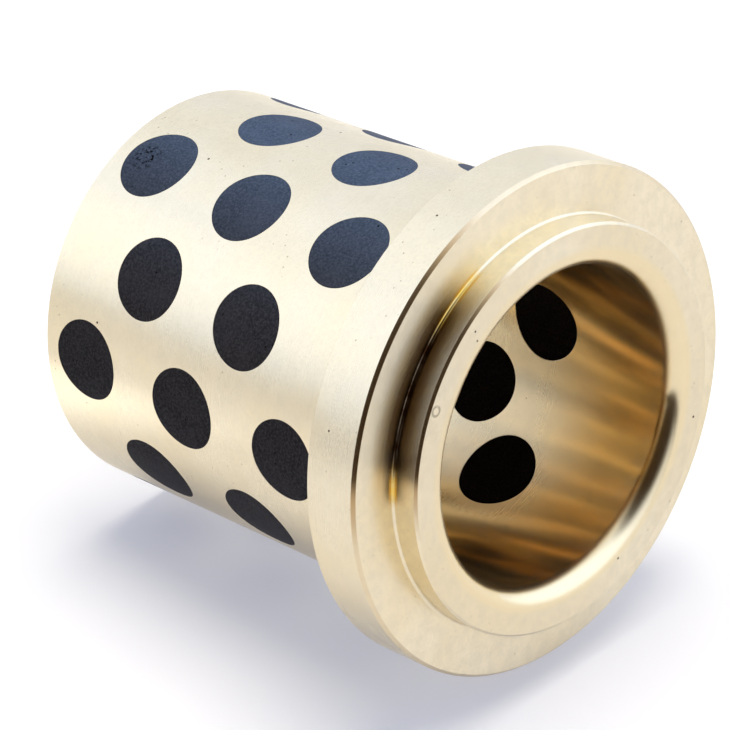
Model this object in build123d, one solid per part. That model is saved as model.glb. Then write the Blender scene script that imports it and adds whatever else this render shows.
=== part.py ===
from build123d import *
import os

# Flanged sleeve bushing, self-lubricating. One turned bronze body (plain sleeve, flange, short centring
# collar) carries graphite plugs, pressed through its wall in staggered rows and machined flush with it.
# Frame: millimetres. The bore runs along X, the collar points to +X, +Z is up. The origin is on the bore
# axis at the flange's rear face, the face that seats against the housing.

# ---- driving dimensions ----
BORE_R = 25.0
SLEEVE_R = 32.5
SLEEVE_LENGTH = 66.0          # from the seat face to the far end
FLANGE_R = 40.0
FLANGE_THICKNESS = 9.5
COLLAR_R = 32.0
COLLAR_HEIGHT = 4.5           # the collar's step beyond the flange's front face

BORE_ENTRY_RADIUS = 3.0       # rounded lead-in at the collar end of the bore
BORE_FAR_CHAMFER = 1.0
SLEEVE_END_CHAMFER = 0.6
FLANGE_REAR_BREAK = 0.3
FLANGE_FRONT_CHAMFER = 0.5
COLLAR_ROOT_RADIUS = 0.5      # inside corner between collar and flange face
COLLAR_EDGE_BREAK = 0.4

PLUG_R = 6.5
PLUG_ROWS = 5                 # rings of plugs along the sleeve
PLUGS_PER_ROW = 6
FIRST_ROW_FROM_SEAT = 12.8    # plug centre of the row nearest the flange
ROW_PITCH = 10.9
ROW_PHASE_DEG = 28.5          # first plug of the first row, turned about +X from +Z
ROW_TURN_DEG = 28.85          # each row is turned this much from the one before, so the rows stagger

# The body's half section, corner by corner in (x, radius), each with how its edge is finished.
FRONT_X = FLANGE_THICKNESS
NOSE_X = FLANGE_THICKNESS + COLLAR_HEIGHT
SECTION = [
    (-SLEEVE_LENGTH, BORE_R, "chamfer", BORE_FAR_CHAMFER),
    (-SLEEVE_LENGTH, SLEEVE_R, "chamfer", SLEEVE_END_CHAMFER),
    (0.0, SLEEVE_R, "sharp", 0.0),
    (0.0, FLANGE_R, "chamfer", FLANGE_REAR_BREAK),
    (FRONT_X, FLANGE_R, "chamfer", FLANGE_FRONT_CHAMFER),
    (FRONT_X, COLLAR_R, "round", COLLAR_ROOT_RADIUS),
    (NOSE_X, COLLAR_R, "chamfer", COLLAR_EDGE_BREAK),
    (NOSE_X, BORE_R, "round", BORE_ENTRY_RADIUS),
]


def turned_body():
    """The bronze turning before drilling: its half section, swept round the bore axis."""
    section = Plane.XZ * make_face(Polyline(*[(x, r) for x, r, _, _ in SECTION], close=True))
    for x, r, finish, size in SECTION:
        corner = [v for v in section.vertices() if (v.center() - Vector(x, 0, r)).length < 1e-6]
        if finish == "chamfer":
            section = chamfer(corner, size)
        elif finish == "round":
            section = fillet(corner, size)
    return revolve(section, Axis.X, 360)


def plug_seats():
    """Name and (distance from the seat face, turn about +X) of every plug."""
    for row in range(PLUG_ROWS):
        x = -(FIRST_ROW_FROM_SEAT + row * ROW_PITCH)
        for place in range(PLUGS_PER_ROW):
            turn = ROW_PHASE_DEG + row * ROW_TURN_DEG + place * 360.0 / PLUGS_PER_ROW
            yield f"graphite_plug_row{row + 1}_{place + 1}", x, turn


def radial_rod(x, turn):
    """A rod of the plugs' diameter from the bore axis out past the sleeve, square to the axis."""
    rod = Cylinder(PLUG_R, SLEEVE_R + 5, align=(Align.CENTER, Align.CENTER, Align.MIN))
    return Rot(turn, 0, 0) * Pos(x, 0, 0) * rod


def save(shape, node):
    shape.label = node
    export_step(shape, f"parts/{node}.step")


os.makedirs("parts", exist_ok=True)

sleeve_wall = Plane.YZ * (Circle(SLEEVE_R) - Circle(BORE_R))
sleeve_wall = Pos(-SLEEVE_LENGTH, 0, 0) * extrude(sleeve_wall, SLEEVE_LENGTH)

body = turned_body()
for node, x, turn in plug_seats():
    rod = radial_rod(x, turn)
    body -= rod
    # Flush at both ends: the plug takes the wall's own curves, outside and in the bore.
    save((rod & sleeve_wall).solids()[0], node)
save(body.solids()[0], "bronze_body")
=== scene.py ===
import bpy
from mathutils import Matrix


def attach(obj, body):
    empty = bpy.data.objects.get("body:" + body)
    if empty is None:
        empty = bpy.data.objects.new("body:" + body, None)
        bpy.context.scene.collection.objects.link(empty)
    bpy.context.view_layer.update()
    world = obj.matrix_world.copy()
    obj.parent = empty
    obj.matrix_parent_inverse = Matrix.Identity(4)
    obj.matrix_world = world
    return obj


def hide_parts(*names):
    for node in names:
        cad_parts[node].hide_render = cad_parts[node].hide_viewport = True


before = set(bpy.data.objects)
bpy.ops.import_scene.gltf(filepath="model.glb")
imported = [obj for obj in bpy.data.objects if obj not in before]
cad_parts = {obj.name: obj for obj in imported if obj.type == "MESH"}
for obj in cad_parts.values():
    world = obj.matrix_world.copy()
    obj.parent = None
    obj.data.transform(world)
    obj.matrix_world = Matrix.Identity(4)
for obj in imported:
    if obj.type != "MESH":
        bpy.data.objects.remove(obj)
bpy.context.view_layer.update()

import math

import bpy
import numpy as np
from mathutils import Vector
from mathutils.geometry import delaunay_2d_cdt

# The bush's sizes in millimetres, as the CAD part has them. The bore runs along X, the collar points
# to +X, and the origin is on the bore axis at the flange's rear face. A turn is an angle about +X,
# from +Z towards -Y.
MM = 0.001
BORE_R, SLEEVE_R, FLANGE_R, COLLAR_R = 25.0, 32.5, 40.0, 32.0
FAR_X, FRONT_X, NOSE_X = -66.0, 9.5, 14.0       # the sleeve's end, the flange's face, the collar's face
SLEEVE_CHAMFER, BORE_CHAMFER = 0.6, 1.0         # at the sleeve's end
BACK_CHAMFER, FLANGE_CHAMFER, COLLAR_CHAMFER = 0.3, 0.5, 0.4
LEAD_IN_R, ROOT_R = 3.0, 0.5                    # round entry to the bore, and the collar's corner
PLUG_R, ROWS, PER_ROW = 6.5, 5, 6
FIRST_ROW, ROW_PITCH = 12.8, 10.9       # from the flange's rear face to row 1, and from row to row
ROW_PHASE, ROW_TURN = 28.5, 28.85       # turn of row 1's first plug, and from row to row, degrees
SECTOR = 2 * math.pi / PER_ROW          # the pattern repeats after this turn

# Fineness of the meshes.
RING = 360            # points round every turned surface
HOLE_RING = 96        # points round every plug and its hole
GRID = 1.3            # spacing of the points on the drilled walls, mm
CLEAR = 0.45          # share of GRID that a grid point keeps from a hole or the wall's end
SEAM_CLEAR = 0.5      # share of GRID that a grid point keeps from a seam
IN_HOLE = 0.9995      # a triangle is in a hole when its middle is within this share of the radius
CORNER_STEP = 9       # turn per step round a softened corner of the section, degrees
EDGE_STEPS = 4        # steps round a softened edge of a plug or its hole
HOLE_EDGE = 0.03      # radius of the softened edge of a plug's hole, mm
PLUG_EDGE = 0.08      # radius of the softened edge of a plug, mm
PLUG_GAP = 0.012      # a plug's side stands off its hole by this much, mm
PLUG_SUNK = 0.012     # a plug's ends sit under the bronze by this much, mm
CAP_RINGS = (1.2, 2.4, 3.6, 4.6, 5.5)   # radii of the rings across a plug's end, mm
WELD_DIGITS = 4       # points that agree to this many digits of a millimetre are one point

# The turned half section, corner by corner: (x, radius, softening radius of the corner).
SECTION = [
    (FAR_X + BORE_CHAMFER, BORE_R, 0.12), (FAR_X, BORE_R + BORE_CHAMFER, 0.12),
    (FAR_X, SLEEVE_R - SLEEVE_CHAMFER, 0.10), (FAR_X + SLEEVE_CHAMFER, SLEEVE_R, 0.12),
    (0.0, SLEEVE_R, 0.15), (0.0, FLANGE_R - BACK_CHAMFER, 0.08), (BACK_CHAMFER, FLANGE_R, 0.10),
    (FRONT_X - FLANGE_CHAMFER, FLANGE_R, 0.12), (FRONT_X, FLANGE_R - FLANGE_CHAMFER, 0.12),
    (FRONT_X, COLLAR_R, ROOT_R), (NOSE_X - COLLAR_CHAMFER, COLLAR_R, 0.12),
    (NOSE_X, COLLAR_R - COLLAR_CHAMFER, 0.12), (NOSE_X, BORE_R, LEAD_IN_R),
]
SLEEVE_WALL, BORE_WALL = 3, 12    # the corners after which the two drilled walls start


def round_corners(corners):
    """Points (x, r, normal x, normal r) along a closed section whose corners are rounded, and the
    point that each side starts from. Outward is a quarter turn left of the section's direction."""
    samples, side_starts = [], []
    count = len(corners)
    for i, (x, r, radius) in enumerate(corners):
        here = np.array([x, r])
        before = np.array(corners[i - 1][:2]) - here
        after = np.array(corners[(i + 1) % count][:2]) - here
        before, after = before / np.linalg.norm(before), after / np.linalg.norm(after)
        half = math.acos(np.clip(before @ after, -1, 1)) / 2
        reach = radius / math.tan(half)
        centre = here + (before + after) / np.linalg.norm(before + after) * radius / math.sin(half)
        n_in = np.array([before[1], -before[0]])
        n_out = np.array([-after[1], after[0]])
        steps = max(3, int(math.degrees(math.pi - 2 * half) / CORNER_STEP))
        turn = math.atan2(n_in[0] * n_out[1] - n_in[1] * n_out[0], n_in @ n_out)
        side = 1.0 if (here + before * reach - centre) @ n_in > 0 else -1.0
        for s in range(steps + 1):
            c, q = math.cos(turn * s / steps), math.sin(turn * s / steps)
            n = np.array([n_in[0] * c - n_in[1] * q, n_in[0] * q + n_in[1] * c])
            p = centre + side * n * radius
            samples.append((p[0], p[1], n[0], n[1]))
        side_starts.append(len(samples) - 1)
    return samples, side_starts


def on_ring(x, r, phi):
    """Points on a circle round the axis."""
    return np.stack([np.broadcast_to(x, np.shape(phi)), -r * np.sin(phi), r * np.cos(phi)], -1)


class Shell:
    """Collects points with their true normals, and faces, and welds what meets."""

    def __init__(self):
        self.points, self.normals, self.faces, self.count = [], [], [], 0

    def add(self, points, normals):
        """Takes in points with their normals and returns their numbers."""
        points = np.asarray(points, float).reshape(-1, 3)
        normals = np.asarray(normals, float).reshape(-1, 3)
        self.points.append(points)
        self.normals.append(normals / np.linalg.norm(normals, axis=1, keepdims=True))
        start = self.count
        self.count += len(points)
        return np.arange(start, self.count)

    def strip(self, a, b, flip=False):
        """Quads between two closed rings of the same length."""
        a2, b2 = np.roll(a, -1), np.roll(b, -1)
        quads = np.stack([a, a2, b2, b], 1)
        self.faces += (quads[:, ::-1] if flip else quads).tolist()

    def fan(self, centre, ring, flip=False):
        """Triangles between a point and a closed ring."""
        nxt = np.roll(ring, -1)
        tris = np.stack([np.full(len(ring), centre), ring, nxt], 1)
        self.faces += (tris[:, ::-1] if flip else tris).tolist()

    def build(self, name):
        """Welds the points, turns every face outward and makes the object."""
        points, normals = np.vstack(self.points), np.vstack(self.normals)
        _, first, same = np.unique(np.round(points, WELD_DIGITS), axis=0, return_index=True,
                                   return_inverse=True)
        same = np.ravel(same)
        faces = []
        for face in self.faces:
            corners = []
            for v in (int(same[i]) for i in face):
                if v not in corners:
                    corners.append(v)
            if len(corners) > 2:
                a, b, c = (points[first[v]] for v in corners[:3])
                true = sum(normals[first[v]] for v in corners)
                faces.append(corners if np.cross(b - a, c - a) @ true > 0 else corners[::-1])
        mesh = bpy.data.meshes.new(name)
        mesh.from_pydata((points[first] * MM).tolist(), [], faces)
        mesh.validate()
        mesh.polygons.foreach_set("use_smooth", [True] * len(mesh.polygons))
        mesh.normals_split_custom_set_from_vertices(normals[first].tolist())
        mesh.update()
        obj = bpy.data.objects.new(name, mesh)
        bpy.context.scene.collection.objects.link(obj)
        return obj


def plug_places():
    """Name, distance along X and turn of every plug."""
    for row in range(ROWS):
        for place in range(PER_ROW):
            turn = ROW_PHASE + row * ROW_TURN + place * 360 / PER_ROW
            yield f"row{row + 1}_{place + 1}", row_x(row), math.radians(turn)


def row_x(row):
    return -(FIRST_ROW + row * ROW_PITCH)


def round_hole():
    """Angles of the points round a plug or its hole."""
    return np.arange(HOLE_RING) * 2 * math.pi / HOLE_RING


def rod_ring(x0, turn, rho, wall_r, sink, t):
    """Points round a radial rod where it meets a wall of radius wall_r, sunk below it by sink.
    A negative sink goes out from the axis, as on the bore side."""
    s = rho * np.sin(t)
    h = np.sqrt(wall_r ** 2 - s ** 2) - sink
    x = x0 + rho * np.cos(t)
    # The rod's own axes: h along (0, -sin, cos) of its turn, s square to it.
    y = -h * math.sin(turn) - s * math.cos(turn)
    z = h * math.cos(turn) - s * math.sin(turn)
    return np.stack([x, y, z], -1)


def rod_outward(turn, t):
    """Directions out of a radial rod's side."""
    return np.stack([np.cos(t), -np.sin(t) * math.cos(turn), -np.sin(t) * math.sin(turn)], -1)


def radial(points):
    """Directions away from the bush's axis."""
    out = points.copy()
    out[:, 0] = 0
    return out / np.linalg.norm(out, axis=1, keepdims=True)


def drilled_wall(shell, wall_r, x_low, x_high, seam, outward):
    """A cylinder wall with the plug holes left out, made as one sector of the pattern and turned
    round. seam gives, row by row, a turn in degrees that passes between the holes."""
    rho = PLUG_R + HOLE_EDGE
    t = round_hole()
    seam_x = np.array([p[0] for p in seam])
    seam_phi = np.radians([p[1] for p in seam])

    def seam_at(x):
        return np.interp(x, seam_x, seam_phi)

    points, edges = [], []

    def chain(xs, phis, closed=False):
        """Adds a line of points that the triangles must follow."""
        start = len(points)
        points.extend(zip(wall_r * np.asarray(phis), xs))
        n = len(points) - start
        edges.extend((start + i, start + i + 1) for i in range(n - 1))
        if closed:
            edges.append((start + n - 1, start))

    steps = int((x_high - x_low) / GRID)
    xs = np.unique(np.concatenate([np.linspace(x_low, x_high, steps + 1), seam_x]))
    chain(xs, seam_at(xs))
    chain(xs, seam_at(xs) + SECTOR)
    for x in (x_low, x_high):
        first = round(float(seam_at(x)) * RING / (2 * math.pi))
        ks = np.arange(first, first + RING // PER_ROW + 1)
        chain(np.full(len(ks), x), ks * 2 * math.pi / RING)
    holes = []
    for _, x0, turn in plug_places():
        middle = float(seam_at(x0)) + SECTOR / 2
        turn -= 2 * math.pi * round((turn - middle) / (2 * math.pi))
        if abs(turn - middle) < SECTOR / 2 + 1e-6:
            s = rho * np.sin(t)
            chain(x0 + rho * np.cos(t), turn + np.arcsin(s / wall_r), closed=True)
            holes.append((x0, turn))
    row_step = GRID * math.sqrt(3) / 2
    for j in range(1, int((x_high - x_low) / row_step)):
        x = x_low + j * row_step
        if x > x_high - CLEAR * GRID:
            continue
        left = float(seam_at(x)) * wall_r
        width = SECTOR * wall_r
        for i in range(int(width / GRID) + 1):
            u = left + (i + j % 2 / 2) * GRID
            if min(u - left, left + width - u) < SEAM_CLEAR * GRID:
                continue
            clear = all(math.hypot(x - x0, wall_r * math.sin(u / wall_r - p)) > rho + CLEAR * GRID
                        for x0, p in holes)
            if clear:
                points.append((u, x))
    out = delaunay_2d_cdt([Vector(p) for p in points], edges, [], 0, 1e-7)
    # The triangulation rounds its points, so each one goes back to the exact point it came from.
    flat = np.array([points[origins[0]] if origins else tuple(v) for v, origins in zip(out[0], out[3])])
    tris = []
    for face in out[2]:
        u, x = flat[list(face)].mean(axis=0)
        phi = u / wall_r
        inside = seam_at(x) < phi < seam_at(x) + SECTOR
        in_hole = any(math.hypot(x - x0, wall_r * math.sin(phi - p)) < rho * IN_HOLE
                      for x0, p in holes)
        if inside and not in_hole:
            a, b, c = face
            cross = np.cross(flat[b] - flat[a], flat[c] - flat[a])
            tris.append((a, b, c) if cross < 0 else (a, c, b))
    tris = np.array(tris)
    for k in range(PER_ROW):
        ring = on_ring(flat[:, 1], wall_r, flat[:, 0] / wall_r + k * SECTOR)
        ids = shell.add(ring, radial(ring) * (1 if outward else -1))
        shell.faces += ids[tris if outward else tris[:, ::-1]].tolist()


def hole_walls(shell):
    """The plug holes: a softened edge at each end and the wall between."""
    t = round_hole()
    for _, x0, turn in plug_places():
        rings = []
        away = rod_outward(turn, t)
        for wall_r, sign in ((SLEEVE_R, 1.0), (BORE_R, -1.0)):
            for s in range(EDGE_STEPS + 1):
                a = math.pi / 2 * s / EDGE_STEPS
                rho = PLUG_R + HOLE_EDGE * (1 - math.sin(a))
                ring = rod_ring(x0, turn, rho, wall_r, sign * HOLE_EDGE * (1 - math.cos(a)), t)
                face = radial(ring) * sign
                rings.append((ring, face * math.cos(a) - away * math.sin(a)))
        rings = rings[:EDGE_STEPS + 1] + rings[:EDGE_STEPS:-1]
        ids = [shell.add(ring, normal) for ring, normal in rings]
        for a, b in zip(ids, ids[1:]):
            shell.strip(a, b, flip=True)


def bronze_shell():
    """The bronze body: the turned section, the two drilled walls and the holes between them."""
    shell = Shell()
    samples, starts = round_corners(SECTION)
    phi = np.arange(RING) * 2 * math.pi / RING
    rings = []
    for x, r, nx, nr in samples:
        normal = np.stack([np.full(RING, nx), -nr * np.sin(phi), nr * np.cos(phi)], -1)
        rings.append(shell.add(on_ring(x, r, phi), normal))
    for i in range(len(rings)):
        if i not in (starts[SLEEVE_WALL], starts[BORE_WALL]):
            shell.strip(rings[i], rings[(i + 1) % len(rings)], flip=True)
    sleeve = [samples[starts[SLEEVE_WALL]][0], samples[starts[SLEEVE_WALL] + 1][0]]
    bore = [samples[starts[BORE_WALL]][0], samples[0][0]]
    seam = [(min(sleeve), 11), (max(sleeve), 11)]
    drilled_wall(shell, SLEEVE_R, min(sleeve), max(sleeve), seam, True)
    seam = [(min(bore), 8), (row_x(4), 7.8), (row_x(3), 11.2), (row_x(2), 10.0), (row_x(1), 13.5),
            (row_x(0), 12.0), (max(bore), 12)]
    drilled_wall(shell, BORE_R, min(bore), max(bore), seam, False)
    hole_walls(shell)
    return shell.build("bronze_body_turned")


def plug_shell(name, x0, turn):
    """One plug: a radial rod whose ends follow the sleeve and the bore."""
    shell = Shell()
    t = round_hole()
    away = rod_outward(turn, t)
    side_r = PLUG_R - PLUG_GAP
    rings, caps = [], []
    for wall_r, sign in ((SLEEVE_R, 1.0), (BORE_R, -1.0)):
        sunk = sign * PLUG_SUNK
        centre = rod_ring(x0, turn, 0.0, wall_r, sunk, t[:1])
        caps.append(shell.add(centre, radial(centre) * sign))
        for rho in CAP_RINGS + (side_r - PLUG_EDGE,):
            ring = rod_ring(x0, turn, rho, wall_r, sunk, t)
            rings.append((sign, shell.add(ring, radial(ring) * sign)))
        for s in range(1, EDGE_STEPS + 1):
            a = math.pi / 2 * s / EDGE_STEPS
            rho = side_r - PLUG_EDGE * (1 - math.sin(a))
            sink = sign * (PLUG_SUNK + PLUG_EDGE * (1 - math.cos(a)))
            ring = rod_ring(x0, turn, rho, wall_r, sink, t)
            normal = radial(ring) * sign * math.cos(a) + away * math.sin(a)
            rings.append((sign, shell.add(ring, normal)))
    outer = [ids for sign, ids in rings if sign > 0]
    inner = [ids for sign, ids in rings if sign < 0]
    shell.fan(caps[0][0], outer[0], flip=False)
    shell.fan(caps[1][0], inner[0], flip=True)
    through = outer + inner[::-1]
    for a, b in zip(through, through[1:]):
        shell.strip(a, b, flip=False)
    return shell.build(name)


# ---- materials ----

UNLIT = (0.035, 0.020, 0.008, 1)                # colour of the unlit room in front of the bush
GLINT_PLACE = (-0.096, -0.056, 0.0)              # middle of the bright patch painted on the floor in reflections only, m
DENT_PLACE = (0.01400, -0.02634, 0.01556)       # middle of the dent on the collar's face, m
DENT_R = 0.72                                   # mm
CRUMBLED_PLACE = (-0.0593, -0.0129, 0.0298)     # middle of the crumbled patch in a plug, m


class Nodes:
    """A short way to write a node tree."""

    def __init__(self, tree):
        self.tree = tree

    def add(self, kind, inputs=None, **settings):
        node = self.tree.nodes.new(kind)
        for key, value in settings.items():
            setattr(node, key, value)
        for key, value in (inputs or {}).items():
            self.put(node.inputs[key], value)
        return node

    def put(self, socket, value):
        """Links another node's output to a socket, or sets the socket's own value."""
        if isinstance(value, bpy.types.NodeSocket):
            self.tree.links.new(value, socket)
        else:
            socket.default_value = value

    def math(self, operation, a, b=0.0):
        return self.add("ShaderNodeMath", {0: a, 1: b}, operation=operation).outputs[0]

    def times(self, a, *more):
        for b in more:
            a = self.math("MULTIPLY", a, b)
        return a

    def plus(self, a, *more):
        for b in more:
            a = self.math("ADD", a, b)
        return a

    def minus(self, a, b):
        return self.math("SUBTRACT", a, b)

    def highest(self, a, *more):
        for b in more:
            a = self.math("MAXIMUM", a, b)
        return a

    def ramp(self, factor, low, high):
        """0 at low, 1 at high, smooth between. Low may be the larger number."""
        node = self.add("ShaderNodeMapRange", {"Value": factor, "From Min": low, "From Max": high})
        node.interpolation_type = "SMOOTHSTEP"
        return node.outputs[0]

    def mix(self, factor, a, b):
        node = self.add("ShaderNodeMix", {0: factor}, data_type="RGBA")
        self.put(node.inputs[6], a)
        self.put(node.inputs[7], b)
        return node.outputs[2]

    def noise(self, vector, scale, detail=4.0, roughness=0.5):
        return self.add("ShaderNodeTexNoise", {"Vector": vector, "Scale": scale, "Detail": detail,
                                               "Roughness": roughness}).outputs["Fac"]

    def cells(self, vector, scale):
        """Distance to the nearest of some scattered points."""
        return self.add("ShaderNodeTexVoronoi", {"Vector": vector, "Scale": scale,
                                                 "Randomness": 1.0}).outputs["Distance"]

    def distance(self, vector, point):
        return self.add("ShaderNodeVectorMath", {0: vector, 1: point},
                        operation="DISTANCE").outputs["Value"]

    def along(self, vector, direction):
        return self.add("ShaderNodeVectorMath", {0: vector, 1: direction},
                        operation="DOT_PRODUCT").outputs["Value"]


class Bush(Nodes):
    """A node tree that knows where on the bush it is: x along the bore, radius from its axis."""

    def __init__(self, tree):
        super().__init__(tree)
        self.place = self.add("ShaderNodeTexCoord").outputs["Object"]
        self.x, self.y, self.z = self.add("ShaderNodeSeparateXYZ", {0: self.place}).outputs
        square = self.plus(self.times(self.y, self.y), self.times(self.z, self.z))
        self.radius = self.math("SQRT", square)

    def at_x(self, low, high):
        """Ramp between two places along the bore, mm."""
        return self.ramp(self.x, low * MM, high * MM)

    def at_radius(self, low, high):
        """Ramp between two radii, mm."""
        return self.ramp(self.radius, low * MM, high * MM)

    def arc(self, turn, none, full):
        """1 within full degrees of a turn round the axis, fading to 0 at none degrees."""
        a = math.radians(turn)
        across = self.plus(self.times(self.y, -math.sin(a)), self.times(self.z, math.cos(a)))
        cosine = self.math("DIVIDE", across, self.radius)
        return self.ramp(cosine, math.cos(math.radians(none)), math.cos(math.radians(full)))


def towards(azimuth, elevation):
    """Unit vector; azimuth 0 is -Y and 90 is +X."""
    a, e = math.radians(azimuth), math.radians(elevation)
    return math.sin(a) * math.cos(e), -math.cos(a) * math.cos(e), math.sin(e)


class Sky(Nodes):
    """A node tree that knows which way the world is looked at."""

    def __init__(self, tree):
        super().__init__(tree)
        self.ray = self.add("ShaderNodeTexCoord").outputs["Generated"]
        self.up = self.add("ShaderNodeSeparateXYZ", {0: self.ray}).outputs[2]

    def cone(self, azimuth, elevation, inner, outer):
        """1 within inner degrees of a direction, fading to 0 at outer degrees."""
        return self.ramp(self.along(self.ray, towards(azimuth, elevation)),
                         math.cos(math.radians(outer)), math.cos(math.radians(inner)))


def new_material(name, kind=Nodes):
    material = bpy.data.materials.new(name)
    material.use_nodes = True
    material.node_tree.nodes.clear()
    return material, kind(material.node_tree)


class Bronze(Bush):
    """A node tree that knows the bronze's grain and the zones of its surface."""

    def __init__(self, tree):
        super().__init__(tree)
        # Lathe marks: noise that hardly changes round the axis, so it draws rings on every side.
        rings = self.add("ShaderNodeCombineXYZ", {0: self.x, 1: self.radius, 2: 0.0}).outputs[0]
        self.fine = self.noise(rings, 5200.0, 3.0, 0.6)
        self.broad = self.noise(rings, 420.0, 2.0, 0.5)
        self.cloud = self.ramp(self.noise(self.place, 45.0, 4.0, 0.55), 0.3, 0.7)
        self.grain = self.noise(self.place, 1900.0, 2.0, 0.6)
        self.front = self.at_x(FRONT_X - 0.6, FRONT_X - 0.4)
        self.outside_collar = self.at_radius(COLLAR_R - 0.4, COLLAR_R - 0.1)
        self.root = self.times(self.corner(4.5, 0.4, 4.3, 0.3), self.outside_collar, self.front)
        self.entry = self.times(self.at_x(NOSE_X - 3.4, NOSE_X - 2.4),
                                self.at_radius(BORE_R + 3.8, BORE_R + 2.4))
        self.wall = self.at_radius(BORE_R + 0.6, BORE_R + 0.1)
        # The bore is painted lighter on one side, most of all deep inside: painted light.
        self.clean = self.arc(-129, 58, 26)
        self.deep = self.times(self.clean, self.at_x(6, -13))

    def corner(self, out, out_full, up, up_full):
        """1 in the collar's corner, fading to 0 out mm over the flange and up mm along the collar."""
        return self.times(self.at_radius(COLLAR_R + out, COLLAR_R + out_full),
                          self.at_x(FRONT_X + up, FRONT_X + up_full))


def clean_bronze(n):
    """The bare metal, with the bore's wall painted a deeper gold as painted reflection, lighter on one
    side and lightest deep inside as painted light.
    """
    tone = n.mix(n.cloud, (0.84, 0.72, 0.485, 1), (0.88, 0.785, 0.585, 1))
    tone = n.mix(n.times(n.ramp(n.grain, 0.42, 0.72), 0.16), tone, (0.66, 0.55, 0.40, 1))
    # Painted reflection and light in the bore: deeper gold, lighter on one side and deep inside.
    bore_gold = n.mix(n.clean, (0.80, 0.52, 0.19, 1), (0.98, 0.70, 0.27, 1))
    return n.mix(n.times(n.wall, 0.9), tone, n.mix(n.deep, bore_gold, (0.99, 0.88, 0.60, 1)))


def painted_corner_shade(n, tone):
    """Painted shade and reflection in the collar's corner: a wide brown painted shade, a darker painted
    shade at its lower end, and a painted golden reflection along the corner itself, painted black in
    its middle."""
    brown_shade = n.times(n.corner(5.5, 2.5, 5.0, 2.0), n.outside_collar, n.front, n.arc(54, 38, 15))
    tone = n.mix(n.times(brown_shade, 0.8), tone, (0.76, 0.55, 0.24, 1))
    lower_shade = n.times(n.corner(2.6, 0.6, 3.2, 0.6), n.root, n.arc(79, 9, 3))
    tone = n.mix(n.times(lower_shade, 0.85), tone, (0.16, 0.11, 0.05, 1))
    # A painted golden reflection along the corner, with a painted black middle.
    gold = n.times(n.corner(1.0, 0.5, 1.0, 0.5), n.root, n.arc(54, 35, 30))
    black_middle = n.arc(59, 23, 14)
    return n.mix(gold, tone, n.mix(black_middle, (0.84, 0.56, 0.12, 1), (0.08, 0.035, 0.012, 1)))


def worn_and_shaded(n, tone):
    """Mottle, a duller collar face, and a browner flange edge that is painted dark reflection. Beside
    the painted corner shade both edges are painted brown shade.
    """
    mottle = n.times(n.ramp(n.noise(n.place, 420.0, 6.0, 0.65), 0.38, 0.66),
                     n.plus(n.times(n.front, 0.20), 0.15))
    tone = n.mix(mottle, tone, (0.69, 0.61, 0.45, 1))
    collar_face = n.at_x(NOSE_X - 0.2, NOSE_X - 0.05)
    tone = n.mix(n.times(collar_face, 0.22), tone, (0.66, 0.55, 0.37, 1))
    # The flange's chamfer is painted browner: painted dark reflection.
    flange_edge = n.times(n.at_radius(FLANGE_R - 0.6, FLANGE_R - 0.45), n.front)
    tone = n.mix(n.times(flange_edge, 0.4), tone, (0.65, 0.49, 0.28, 1))
    # Both edges beside the painted corner shade are painted brown: painted shade.
    collar_edge = n.times(n.at_x(NOSE_X - 0.5, NOSE_X - 0.35),
                          n.at_radius(COLLAR_R - 0.5, COLLAR_R - 0.35))
    beside_shade = n.times(n.highest(collar_edge, flange_edge), n.arc(54, 42, 26))
    return n.mix(n.times(beside_shade, 0.8), tone, (0.45, 0.27, 0.10, 1))


def dent_ring(n):
    """The ring-shaped dent on the collar's face."""
    off_ring = n.minus(n.distance(n.place, DENT_PLACE), DENT_R * MM)
    return n.times(n.ramp(n.math("ABSOLUTE", off_ring), 0.28 * MM, 0.10 * MM),
                   n.ramp(n.grain, 0.25, 0.45))


def bronze_material():
    material, n = new_material("turned_bronze", Bronze)
    tone = worn_and_shaded(n, painted_corner_shade(n, clean_bronze(n)))
    dent = dent_ring(n)
    tone = n.mix(n.times(dent, 0.7), tone, (0.34, 0.29, 0.20, 1))
    dots = n.times(n.ramp(n.cells(n.place, 620.0), 0.12, 0.06),
                   n.ramp(n.noise(n.place, 120.0, 2.0, 0.5), 0.52, 0.60))
    tone = n.mix(n.times(dots, 0.55), tone, (0.30, 0.22, 0.13, 1))
    tone = n.mix(n.times(n.entry, 0.7), tone, (0.85, 0.70, 0.42, 1))
    pit = n.times(n.math("LESS_THAN", n.cells(n.place, 260.0), 0.055),
                  n.math("GREATER_THAN", n.noise(n.place, 95.0, 1.0, 0.5), 0.56))
    colour = n.mix(pit, tone, (0.09, 0.06, 0.035, 1))

    # Turned surfaces reflect sharply round the axis and softly along it. Smoother are the polished
    #     entry, the front faces, the bore's wall and most of all the corner with the painted shade.
    shaded_corner = n.times(n.root, n.arc(52, 34, 12))
    smooth = n.highest(n.times(n.entry, 0.07), n.times(n.front, 0.055), n.times(n.wall, 0.075),
                       n.times(shaded_corner, 0.13))
    rough = n.minus(n.plus(n.times(n.cloud, 0.05), n.times(n.fine, 0.10), 0.19), smooth)
    rough = n.plus(rough, n.times(n.wall, n.deep, 0.10))
    height = n.plus(n.times(n.fine, 0.5), n.times(n.broad, 0.25), n.times(n.grain, 0.35))
    height = n.minus(height, n.times(n.plus(pit, dent), 3.0))
    bump = n.add("ShaderNodeBump", {"Height": height, "Strength": 0.25, "Distance": 0.010 * MM})
    tangent = n.add("ShaderNodeTangent", direction_type="RADIAL", axis="X")
    shader = n.add("ShaderNodeBsdfPrincipled", {
        "Base Color": colour, "Metallic": 1.0, "Roughness": rough, "Anisotropic": 0.95,
        "Anisotropic Rotation": 0.25, "Tangent": tangent.outputs[0], "Normal": bump.outputs[0]})
    n.add("ShaderNodeOutputMaterial", {"Surface": shader.outputs[0]})
    return material


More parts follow.
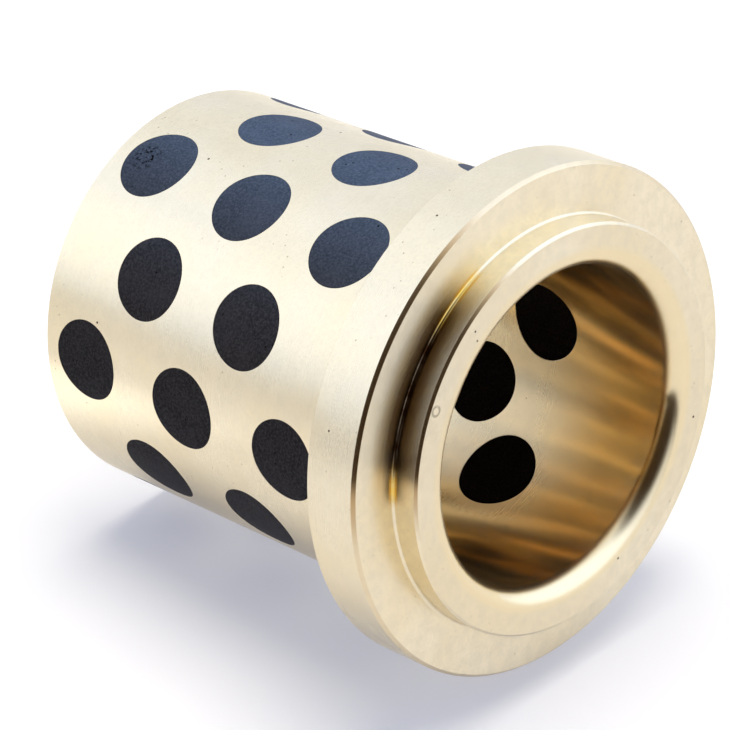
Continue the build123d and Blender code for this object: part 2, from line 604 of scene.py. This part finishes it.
def graphite_material():
    material, n = new_material("graphite", Bush)
    grain = n.noise(n.place, 2600.0, 4.0, 0.7)
    cloud = n.noise(n.place, 160.0, 3.0, 0.6)

    # Crumbs have fallen out here and there, and one plug has a crumbled patch.
    loose = n.times(n.math("LESS_THAN", n.cells(n.place, 900.0), 0.16),
                    n.math("GREATER_THAN", n.noise(n.place, 240.0, 2.0, 0.5), 0.62))
    crumbled = n.times(n.ramp(n.distance(n.place, CRUMBLED_PLACE), 3.4 * MM, 1.2 * MM),
                       n.ramp(n.noise(n.place, 1500.0, 3.0, 0.6), 0.53, 0.58))
    loose = n.highest(loose, crumbled)

    # Darker in the bore as painted shade, dark grey outside, and lighter pale blue on what faces up as
    # a painted sheen.
    outside = n.at_radius(BORE_R + 3, SLEEVE_R - 1.5)
    top = n.math("POWER", n.highest(n.math("DIVIDE", n.z, n.radius), 0.0), 4.6)
    dark = n.mix(outside, (0.003, 0.002, 0.002, 1),
                 n.mix(top, (0.019, 0.017, 0.019, 1), (0.048, 0.073, 0.130, 1)))
    light = n.mix(outside, (0.012, 0.010, 0.009, 1),
                  n.mix(top, (0.051, 0.048, 0.053, 1), (0.095, 0.133, 0.225, 1)))
    colour = n.mix(n.ramp(grain, 0.35, 0.7), dark, light)
    colour = n.mix(n.times(n.ramp(cloud, 0.4, 0.8), 0.4), colour, light)
    colour = n.mix(loose, colour, (0.004, 0.004, 0.005, 1))
    rough = n.plus(n.times(grain, 0.25), 0.24)
    height = n.minus(grain, n.times(loose, 1.5))
    bump = n.add("ShaderNodeBump", {"Height": height, "Strength": 0.6, "Distance": 0.04 * MM})
    shader = n.add("ShaderNodeBsdfPrincipled", {
        "Base Color": colour, "Metallic": 0.0, "Roughness": rough, "IOR": 1.04,
        "Sheen Weight": 0.01, "Sheen Roughness": 0.3, "Sheen Tint": (0.36, 0.58, 1.0, 1),
        "Normal": bump.outputs[0]})
    n.add("ShaderNodeOutputMaterial", {"Surface": shader.outputs[0]})
    return material


def floor_material():
    material, n = new_material("pale_floor")
    place = n.add("ShaderNodeTexCoord").outputs["Object"]
    colour = n.mix(n.noise(place, 9.0, 3.0, 0.5), (0.70, 0.70, 0.70, 1), (0.72, 0.72, 0.72, 1))
    # The floor glows a little, more towards the back: painted light that lifts its shadows.
    room = n.along(place, towards(42, 0))
    glow = n.mix(n.ramp(room, 0.1, -0.5), (0.305, 0.320, 0.395, 1), (0.345, 0.355, 0.385, 1))
    table = n.add("ShaderNodeBsdfPrincipled", {"Base Color": colour, "Roughness": 0.7,
                                               "Emission Color": glow, "Emission Strength": 1.0})
    # In reflections only, the floor is painted dark towards the unlit room, and a small bright patch is
    #     painted beside the sleeve's far end: painted reflections.
    glossy = n.add("ShaderNodeLightPath").outputs["Is Glossy Ray"]
    end = n.times(n.highest(n.ramp(room, 0.16, 0.34), 0.08), glossy)
    dark = n.add("ShaderNodeEmission", {"Color": UNLIT})
    surface = n.add("ShaderNodeMixShader", {0: end, 1: table.outputs[0], 2: dark.outputs[0]})
    near = n.times(n.ramp(n.distance(place, GLINT_PLACE), 0.032, 0.008), glossy)
    glint = n.add("ShaderNodeEmission", {"Color": (1.60, 1.62, 1.66, 1)})
    surface = n.add("ShaderNodeMixShader", {0: near, 1: surface.outputs[0], 2: glint.outputs[0]})
    n.add("ShaderNodeOutputMaterial", {"Surface": surface.outputs[0]})
    return material


# ---- the part ----

def link(obj):
    bpy.context.scene.collection.objects.link(obj)
    return obj


bronze, graphite = bronze_material(), graphite_material()
body = bronze_shell()
body.data.materials.append(bronze)
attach(body, "root")
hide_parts("bronze_body")
for place, x0, turn in plug_places():
    plug = plug_shell(f"graphite_{place}", x0, turn)
    plug.data.materials.append(graphite)
    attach(plug, "root")
    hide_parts(f"graphite_plug_{place}")

# ---- floor: the bush lies on its flange's rear edge and its sleeve's far edge ----

FLOOR_HALF, FLOOR_GAP = 1.2, 0.03    # half the floor's side in metres, its gap under the flange in mm
tilt = math.atan2(FLANGE_R - SLEEVE_R, -(FAR_X + SLEEVE_CHAMFER))
floor_mesh = bpy.data.meshes.new("floor")
corners = [(a * FLOOR_HALF, b * FLOOR_HALF, 0) for a, b in ((-1, -1), (1, -1), (1, 1), (-1, 1))]
floor_mesh.from_pydata(corners, [], [(0, 1, 2, 3)])
floor = link(bpy.data.objects.new("floor", floor_mesh))
floor.rotation_euler = (0, tilt, 0)
floor.location = (0, 0, -(FLANGE_R + FLOOR_GAP) * MM)
floor.data.materials.append(floor_material())

# ---- camera ----

camera = link(bpy.data.objects.new("camera", bpy.data.cameras.new("camera")))
camera.data.lens = 171.6
camera.data.sensor_width = 36.0
camera.location = (0.3206, -0.3223, 0.25534)
camera.rotation_euler = (math.radians(61.397), math.radians(4.684), math.radians(44.717))
bpy.context.scene.camera = camera

# ---- light: one distant soft lamp overhead, which leaves no highlight of its own ----

KEY_FROM, KEY_SPREAD, KEY_STRENGTH = (0.04, 0.17, 1.3), 41, 2.6
lamp = bpy.data.lights.new("key", "SUN")
lamp.angle = math.radians(KEY_SPREAD)
lamp.energy = KEY_STRENGTH
lamp.color = (1.0, 0.93, 0.79)
key = link(bpy.data.objects.new("key", lamp))
key.location = KEY_FROM
key.rotation_euler = Vector(KEY_FROM).to_track_quat("Z", "Y").to_euler()
key.visible_glossy = False

# ---- world: a white tent round the bush, open towards the unlit room ----

world = bpy.data.worlds.new("studio")
bpy.context.scene.world = world
world.use_nodes = True
world.node_tree.nodes.clear()
w = Sky(world.node_tree)
# The tent is brighter on two sides, with a bright spot low on one, and darker along its foot.
tent = w.mix(w.cone(-63, 36, 12, 50), (1.03, 1.10, 1.26, 1), (1.26, 1.38, 1.66, 1))
tent = w.mix(w.cone(-72, 15, 8, 21), tent, (2.1, 2.15, 2.3, 1))
tent = w.mix(w.times(w.cone(-110, 12, 6, 18), 0.7), tent, (0.36, 0.34, 0.30, 1))
tent = w.mix(w.cone(134, 25, 18, 50), tent, (1.40, 1.56, 1.95, 1))
foot = w.times(w.ramp(w.up, -0.02, 0.05), w.ramp(w.up, 0.17, 0.07), w.cone(-60, 0, 60, 100))
tent = w.mix(w.times(foot, 0.45), tent, (0.55, 0.52, 0.50, 1))
tent = w.mix(w.times(w.cone(-135, 6, 8, 26), 0.6), tent, (0.88, 0.94, 1.08, 1))
tent = w.mix(w.cone(40, 25, 31, 56), tent, UNLIT)
# Matt surfaces get only a part of the tent's light, so that the lamp's shadow shows.
rays = w.add("ShaderNodeLightPath")
strength = w.minus(1.0, w.times(rays.outputs["Is Diffuse Ray"], 0.68))
sky = w.add("ShaderNodeBackground", {"Color": tent, "Strength": strength})
seen = w.add("ShaderNodeBackground", {"Color": (1.0, 0.995, 0.975, 1), "Strength": 1.0})
both = w.add("ShaderNodeMixShader", {0: rays.outputs["Is Camera Ray"], 1: sky.outputs[0],
                                     2: seen.outputs[0]})
w.add("ShaderNodeOutputWorld", {"Surface": both.outputs[0]})
bpy.context.scene.view_settings.view_transform = "Standard"
bpy.context.scene.view_settings.look = "None"
